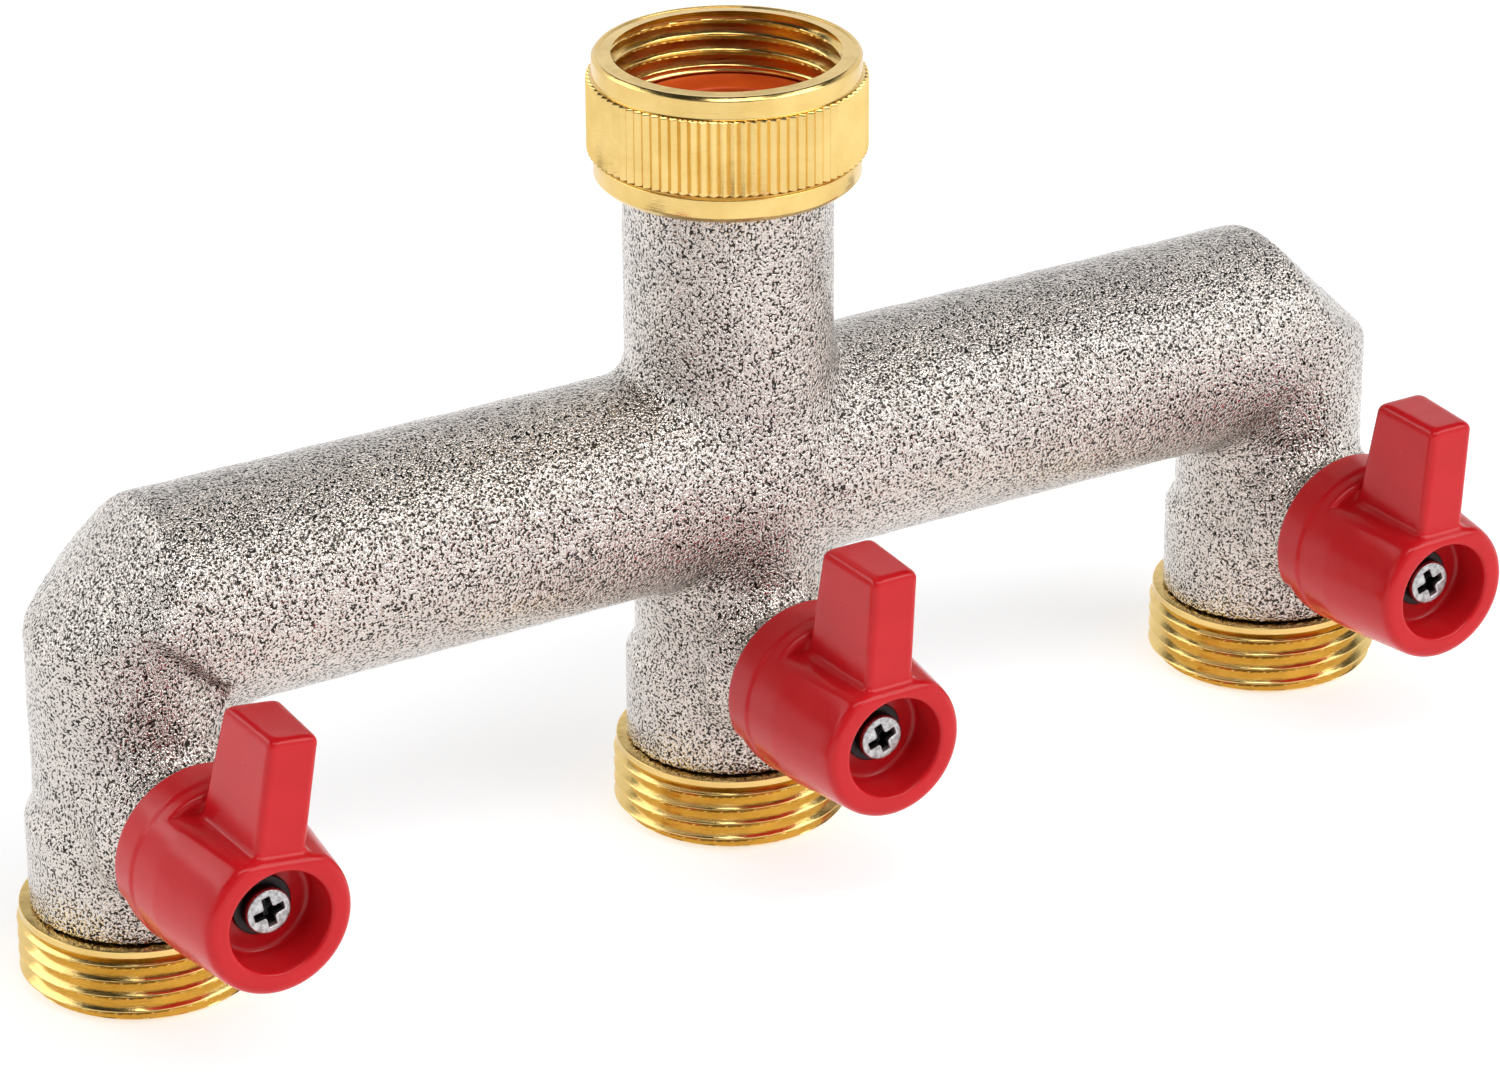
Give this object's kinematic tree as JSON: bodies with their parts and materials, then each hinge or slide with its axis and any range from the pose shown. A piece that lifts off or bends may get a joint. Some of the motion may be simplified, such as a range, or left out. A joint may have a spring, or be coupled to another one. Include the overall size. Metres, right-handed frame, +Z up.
{
  "type": "hose splitter",
  "caption": "Garden hose manifold with a swivel inlet nut, vertical threaded outlets and a quarter-turn valve on each.",
  "frame": {"origin": "bottom centre of the whole object: the plane of the three outlet ends, at the middle outlet in X and at the middle of the depth in Y; the pipe lies 9.68 mm behind it", "axes": "+X along the horizontal pipe, -Y the side of the handles, +Z up towards the inlet"},
  "size_m": [0.1718, 0.0494, 0.0891],
  "materials": {
    "cast_nickel": "nickel-plated brass casting, bead-blasted to an even pebbled grain, satin",
    "turned_brass": "bare turned brass, fine lathe lines, bright",
    "inner_brass": "machined brass, satin",
    "plated_ball": "polished chrome plate",
    "screw_steel": "bright zinc-plated steel",
    "handle_plastic": "red injection-moulded plastic, glossy",
    "washer_rubber": "orange-red rubber, matt",
    "seal_rubber": "black nitrile rubber",
    "seat_ptfe": "white PTFE, waxy"
  },
  "bodies": {
    "manifold": {"body_casting": "cast_nickel", "inlet_tailpiece": "inner_brass", "tailpiece_o_ring": "seal_rubber", "inlet_washer": "washer_rubber", "left_outlet": "turned_brass", "left_outlet_o_ring": "seal_rubber", "left_upper_seat": "seat_ptfe", "left_lower_seat": "seat_ptfe", "middle_outlet": "turned_brass", "middle_outlet_o_ring": "seal_rubber", "middle_upper_seat": "seat_ptfe", "middle_lower_seat": "seat_ptfe", "right_outlet": "turned_brass", "right_outlet_o_ring": "seal_rubber", "right_upper_seat": "seat_ptfe", "right_lower_seat": "seat_ptfe"},
    "inlet_nut": {"swivel_nut": "turned_brass"},
    "left_valve": {"left_handle": "handle_plastic", "left_handle_screw": "screw_steel", "left_screw_washer": "seal_rubber", "left_stem": "inner_brass", "left_ball": "plated_ball", "left_thrust_washer": "seat_ptfe", "left_stem_o_ring_inner": "seal_rubber", "left_stem_o_ring_outer": "seal_rubber"},
    "middle_valve": {"middle_handle": "handle_plastic", "middle_handle_screw": "screw_steel", "middle_screw_washer": "seal_rubber", "middle_stem": "inner_brass", "middle_ball": "plated_ball", "middle_thrust_washer": "seat_ptfe", "middle_stem_o_ring_inner": "seal_rubber", "middle_stem_o_ring_outer": "seal_rubber"},
    "right_valve": {"right_handle": "handle_plastic", "right_handle_screw": "screw_steel", "right_screw_washer": "seal_rubber", "right_stem": "inner_brass", "right_ball": "plated_ball", "right_thrust_washer": "seat_ptfe", "right_stem_o_ring_inner": "seal_rubber", "right_stem_o_ring_outer": "seal_rubber"}
  },
  "joints": [
    {"name": "inlet_nut_spin", "type": "hinge", "parent": "manifold", "child": "inlet_nut", "pos_m": [0, 0.00968, 0.08205], "axis": [0, 0, 1], "continuous": true},
    {"name": "left_valve_turn", "type": "hinge", "parent": "manifold", "child": "left_valve", "pos_m": [-0.0727, 0.00968, 0.0212], "axis": [0, 1, 0], "range_deg": [-7, 83]},
    {"name": "middle_valve_turn", "type": "hinge", "parent": "manifold", "child": "middle_valve", "pos_m": [0, 0.00968, 0.0212], "axis": [0, 1, 0], "range_deg": [0, 90]},
    {"name": "right_valve_turn", "type": "hinge", "parent": "manifold", "child": "right_valve", "pos_m": [0.0727, 0.00968, 0.0212], "axis": [0, 1, 0], "range_deg": [0, 90]}
  ]
}
